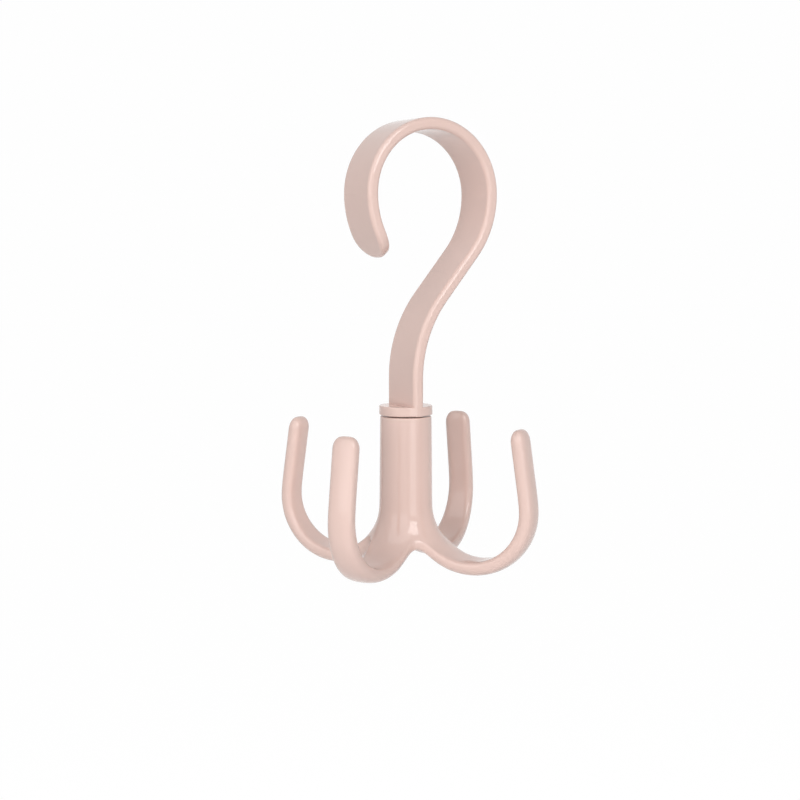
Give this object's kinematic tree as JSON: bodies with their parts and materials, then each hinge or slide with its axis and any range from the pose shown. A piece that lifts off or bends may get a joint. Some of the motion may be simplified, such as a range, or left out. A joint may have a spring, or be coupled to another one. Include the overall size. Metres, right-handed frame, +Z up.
{
  "type": "rotating closet hook",
  "caption": "Rail hook with a flat C-shaped strip above and a freely turning hub with upturned claws below, for hanging bags, belts and scarves.",
  "frame": {"origin": "centre of the rail seat, on the middle of the strip's width", "axes": "+Z up, +Y along the rail, and the C lies in the XZ plane with its mouth towards -X"},
  "size_m": [0.0766, 0.0766, 0.1396],
  "materials": {
    "pink_plastic": "glossy dusty-pink moulded plastic",
    "steel": "bright zinc-plated steel"
  },
  "bodies": {
    "hook": {"upper_hook": "pink_plastic", "retaining_washer": "steel", "retaining_screw": "steel"},
    "claws": {"claw_body": "pink_plastic"}
  },
  "joints": [
    {"name": "hub_swivel", "type": "hinge", "parent": "hook", "child": "claws", "pos_m": [-0.0055, 0, -0.0685], "axis": [0, 0, 1], "continuous": true}
  ]
}
